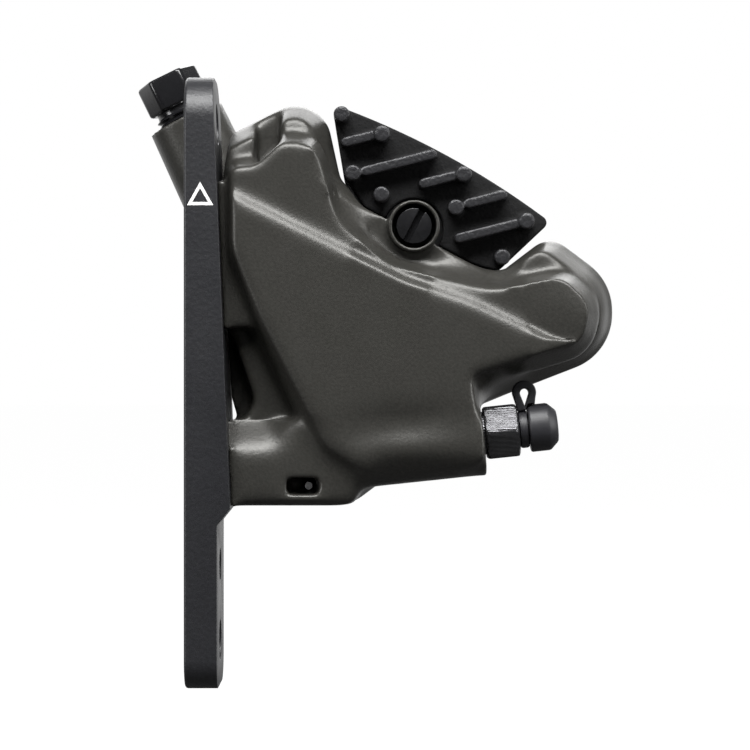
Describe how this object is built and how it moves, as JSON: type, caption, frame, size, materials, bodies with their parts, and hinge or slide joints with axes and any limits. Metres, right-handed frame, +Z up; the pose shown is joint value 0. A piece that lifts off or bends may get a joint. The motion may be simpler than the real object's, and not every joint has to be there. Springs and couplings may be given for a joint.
{
  "type": "disc brake caliper",
  "caption": "Flat-mount hydraulic disc brake caliper on its reversible fork plate, with finned pads, bleed nipple with rubber cap and a hose port.",
  "frame": {"origin": "midway between the two fork holes, on the plate's face that bears on the fork", "axes": "+X away from the fork, square to the plate; +Y inboard, towards the wheel; +Z up along the plate"},
  "size_m": [0.0666, 0.0392, 0.0865],
  "materials": {
    "plate": "satin black anodised",
    "body": "satin dark grey coat with fine metal flake",
    "plug": "satin dark anodised",
    "seal_rubber": "matt black",
    "piston": "moulded phenolic resin",
    "pad_steel": "bare stamped steel",
    "friction": "coarse resin compound",
    "fin": "grained black coat",
    "spring_steel": "bright spring steel",
    "axle_steel": "dark plated steel",
    "bolt_steel": "black oxide",
    "pin_steel": "bright wire",
    "nut_steel": "gloss black",
    "olive_brass": "bright",
    "nipple_steel": "black plated, turned",
    "cap_rubber": "matt black"
  },
  "bodies": {
    "plate": {"mount_plate": "plate"},
    "caliper": {"caliper_body": "body", "bore_plug": "plug", "bore_plug_oring": "seal_rubber", "outer_piston_seal": "seal_rubber", "inner_piston_seal": "seal_rubber", "caliper_bolts": "bolt_steel", "bolt_retaining_pins": "pin_steel", "pad_axle": "axle_steel", "pad_axle_oring": "seal_rubber", "pad_axle_snap_ring": "spring_steel", "pad_spring": "spring_steel", "hose_nut": "nut_steel", "hose_olive": "olive_brass"},
    "outer_piston": {"outer_piston": "piston"},
    "inner_piston": {"inner_piston": "piston"},
    "outer_pad": {"outer_pad_backing": "pad_steel", "outer_friction": "friction", "outer_fin": "fin"},
    "inner_pad": {"inner_pad_backing": "pad_steel", "inner_friction": "friction", "inner_fin": "fin"},
    "nipple": {"bleed_nipple": "nipple_steel", "nipple_oring": "seal_rubber", "cap_ring": "cap_rubber", "cap_strap": "cap_rubber"},
    "cap": {"nipple_cap": "cap_rubber"}
  },
  "joints": [
    {"name": "caliper_shift", "type": "slide", "parent": "plate", "child": "caliper", "axis": [0, 1, 0], "range_m": [-0.0015, 0.0015]},
    {"name": "outer_piston_slide", "type": "slide", "parent": "caliper", "child": "outer_piston", "axis": [0, 1, 0], "range_m": [0, 0.0012], "stiffness_N_per_m": 200, "springref_m": -0.001},
    {"name": "inner_piston_slide", "type": "slide", "parent": "caliper", "child": "inner_piston", "axis": [0, -1, 0], "range_m": [0, 0.0012]},
    {"name": "outer_pad_slide", "type": "slide", "parent": "caliper", "child": "outer_pad", "axis": [0, 1, 0], "range_m": [0, 0.0012], "deforming": ["pad_spring"]},
    {"name": "inner_pad_slide", "type": "slide", "parent": "caliper", "child": "inner_pad", "axis": [0, -1, 0], "range_m": [0, 0.0012], "deforming": ["pad_spring"]},
    {"name": "bleed_nipple_turn", "type": "hinge", "parent": "caliper", "child": "nipple", "pos_m": [0.0399, -0.0026, -0.0069], "axis": [0.9945, 0, 0.1045], "range_deg": [0, 45]},
    {"name": "cap_pull", "type": "slide", "parent": "nipple", "child": "cap", "axis": [0.9945, 0, 0.1045], "range_m": [0, 0.005], "deforming": ["cap_strap"]}
  ],
  "couplings": [
    {"joint": "inner_piston_slide", "follows": "outer_piston_slide", "ratio": 1},
    {"joint": "outer_pad_slide", "follows": "outer_piston_slide", "ratio": 1},
    {"joint": "inner_pad_slide", "follows": "outer_piston_slide", "ratio": 1}
  ]
}
